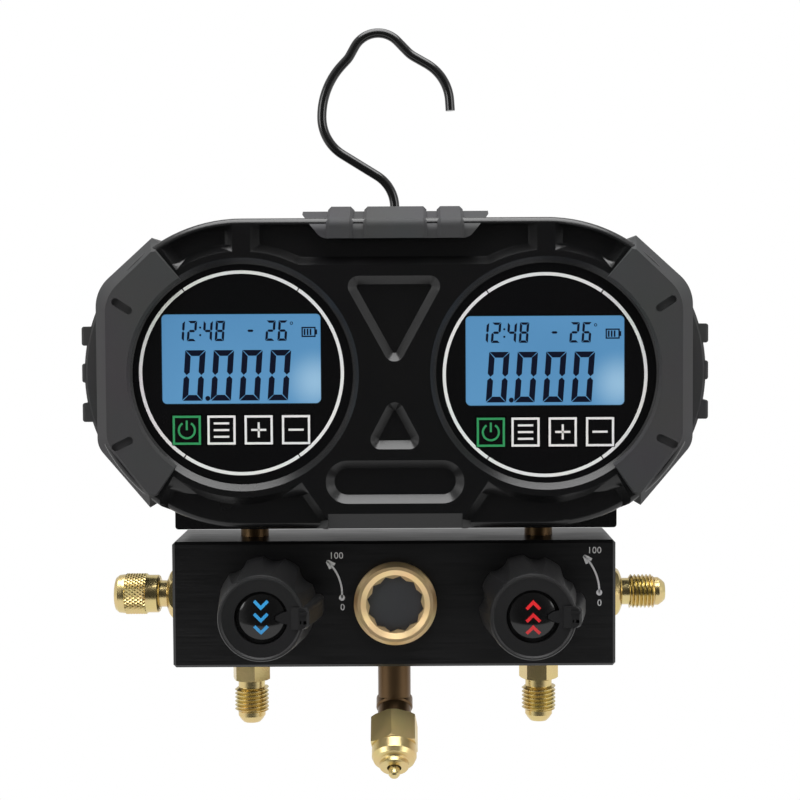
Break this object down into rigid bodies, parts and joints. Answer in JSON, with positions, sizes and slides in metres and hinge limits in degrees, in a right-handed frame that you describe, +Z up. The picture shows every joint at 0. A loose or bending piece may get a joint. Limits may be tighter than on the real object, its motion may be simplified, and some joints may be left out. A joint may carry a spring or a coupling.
{
  "type": "refrigerant manifold gauge",
  "caption": "Hanging refrigerant manifold with digital pressure gauges in a cushioned case over a black valve block with fluted knobs, sight glass and brass flare ports.",
  "frame": {"origin": "on the hook's swivel axis, at the underside of the hook's wire, where it rests on a nail or rail", "axes": "+X to the right along the manifold as seen from the front, towards the high-pressure side; +Y from the front to the back; +Z up, along the hook's swivel axis"},
  "size_m": [0.1972, 0.0656, 0.2381],
  "materials": {
    "case": "satin black moulded plastic",
    "bumper": "matte grey moulded rubber",
    "faceplate": "black printed sheet",
    "display": "lit liquid crystal display, pale blue",
    "key": "black key with a printed square",
    "board": "green laminate",
    "cell": "wrapped cell",
    "brass": "turned and plated brass",
    "block": "black anodised, finely brushed",
    "knob": "matte black moulded plastic",
    "insert": "glossy black cap",
    "hook": "gloss black wire",
    "steel": "bright steel",
    "seal": "black rubber",
    "seat": "white low-friction plastic",
    "sight": "dark glass"
  },
  "bodies": {
    "manifold": {"front_shell": "case", "rear_shell": "case", "left_bumper": "bumper", "right_bumper": "bumper", "top_bumper": "bumper", "housing_screws": "steel", "hook_bush": "brass", "manifold_block": "block", "sight_glass_ring": "brass", "sight_glass": "sight", "sight_glass_seal": "seal", "left_port_fitting": "brass", "right_port_fitting": "brass", "charging_elbow": "brass", "charging_core": "brass", "charging_spring": "steel", "low_faceplate": "faceplate", "low_display": "display", "low_board": "board", "low_pressure_sensor": "brass", "low_batteries": "cell", "low_bonnet": "brass", "low_stem_packing": "seal", "low_ball_seats": "seat", "low_hose_fitting": "brass", "high_faceplate": "faceplate", "high_display": "display", "high_board": "board", "high_pressure_sensor": "brass", "high_batteries": "cell", "high_bonnet": "brass", "high_stem_packing": "seal", "high_ball_seats": "seat", "high_hose_fitting": "brass"},
    "hook": {"hook": "hook", "hook_retainer": "steel"},
    "low_valve": {"low_knob": "knob", "low_knob_insert": "insert", "low_knob_screw": "steel", "low_stem": "steel", "low_ball": "steel"},
    "low_power_key": {"low_power_key": "key"},
    "low_menu_key": {"low_menu_key": "key"},
    "low_plus_key": {"low_plus_key": "key"},
    "low_minus_key": {"low_minus_key": "key"},
    "low_battery_door": {"low_battery_door": "case"},
    "high_valve": {"high_knob": "knob", "high_knob_insert": "insert", "high_knob_screw": "steel", "high_stem": "steel", "high_ball": "steel"},
    "high_power_key": {"high_power_key": "key"},
    "high_menu_key": {"high_menu_key": "key"},
    "high_plus_key": {"high_plus_key": "key"},
    "high_minus_key": {"high_minus_key": "key"},
    "high_battery_door": {"high_battery_door": "case"},
    "cap_seal": {"cap_seal": "seal"},
    "port_cap": {"port_cap": "brass"},
    "charging_pin": {"charging_pin": "brass"}
  },
  "joints": [
    {"name": "hook_swivel", "type": "hinge", "parent": "manifold", "child": "hook", "pos_m": [0, 0, -0.0606], "axis": [0, 0, 1], "continuous": true},
    {"name": "low_valve_turn", "type": "hinge", "parent": "manifold", "child": "low_valve", "pos_m": [-0.0399, 0, -0.1773], "axis": [0, -1, 0], "range_deg": [0, 90]},
    {"name": "high_valve_turn", "type": "hinge", "parent": "manifold", "child": "high_valve", "pos_m": [0.041, 0, -0.1773], "axis": [0, -1, 0], "range_deg": [0, 90]},
    {"name": "low_power_press", "type": "slide", "parent": "manifold", "child": "low_power_key", "axis": [0, 1, 0], "range_m": [0, 0.0005], "stiffness_N_per_m": 600, "springref_m": -0.0004},
    {"name": "low_menu_press", "type": "slide", "parent": "manifold", "child": "low_menu_key", "axis": [0, 1, 0], "range_m": [0, 0.0005], "stiffness_N_per_m": 600, "springref_m": -0.0004},
    {"name": "low_plus_press", "type": "slide", "parent": "manifold", "child": "low_plus_key", "axis": [0, 1, 0], "range_m": [0, 0.0005], "stiffness_N_per_m": 600, "springref_m": -0.0004},
    {"name": "low_minus_press", "type": "slide", "parent": "manifold", "child": "low_minus_key", "axis": [0, 1, 0], "range_m": [0, 0.0005], "stiffness_N_per_m": 600, "springref_m": -0.0004},
    {"name": "high_power_press", "type": "slide", "parent": "manifold", "child": "high_power_key", "axis": [0, 1, 0], "range_m": [0, 0.0005], "stiffness_N_per_m": 600, "springref_m": -0.0004},
    {"name": "high_menu_press", "type": "slide", "parent": "manifold", "child": "high_menu_key", "axis": [0, 1, 0], "range_m": [0, 0.0005], "stiffness_N_per_m": 600, "springref_m": -0.0004},
    {"name": "high_plus_press", "type": "slide", "parent": "manifold", "child": "high_plus_key", "axis": [0, 1, 0], "range_m": [0, 0.0005], "stiffness_N_per_m": 600, "springref_m": -0.0004},
    {"name": "high_minus_press", "type": "slide", "parent": "manifold", "child": "high_minus_key", "axis": [0, 1, 0], "range_m": [0, 0.0005], "stiffness_N_per_m": 600, "springref_m": -0.0004},
    {"name": "low_battery_door_tilt", "type": "hinge", "parent": "manifold", "child": "low_battery_door", "pos_m": [-0.0463, 0.017, -0.1189], "axis": [-1, 0, 0], "range_deg": [0, 100]},
    {"name": "high_battery_door_tilt", "type": "hinge", "parent": "manifold", "child": "high_battery_door", "pos_m": [0.0463, 0.017, -0.1189], "axis": [-1, 0, 0], "range_deg": [0, 100]},
    {"name": "cap_travel", "type": "slide", "parent": "manifold", "child": "cap_seal", "axis": [-1, 0, 0], "range_m": [0, 0.0083]},
    {"name": "cap_turn", "type": "hinge", "parent": "cap_seal", "child": "port_cap", "pos_m": [-0.085, 0, -0.1775], "axis": [-1, 0, 0], "range_deg": [0, 2340]},
    {"name": "charging_pin_press", "type": "slide", "parent": "manifold", "child": "charging_pin", "axis": [0, 0.7071, 0.7071], "range_m": [0, 0.0015], "stiffness_N_per_m": 1500, "springref_m": -0.001, "deforming": ["charging_spring"]}
  ],
  "couplings": [
    {"joint": "cap_travel", "follows": "cap_turn", "m_per_rad": 0.00020213}
  ]
}
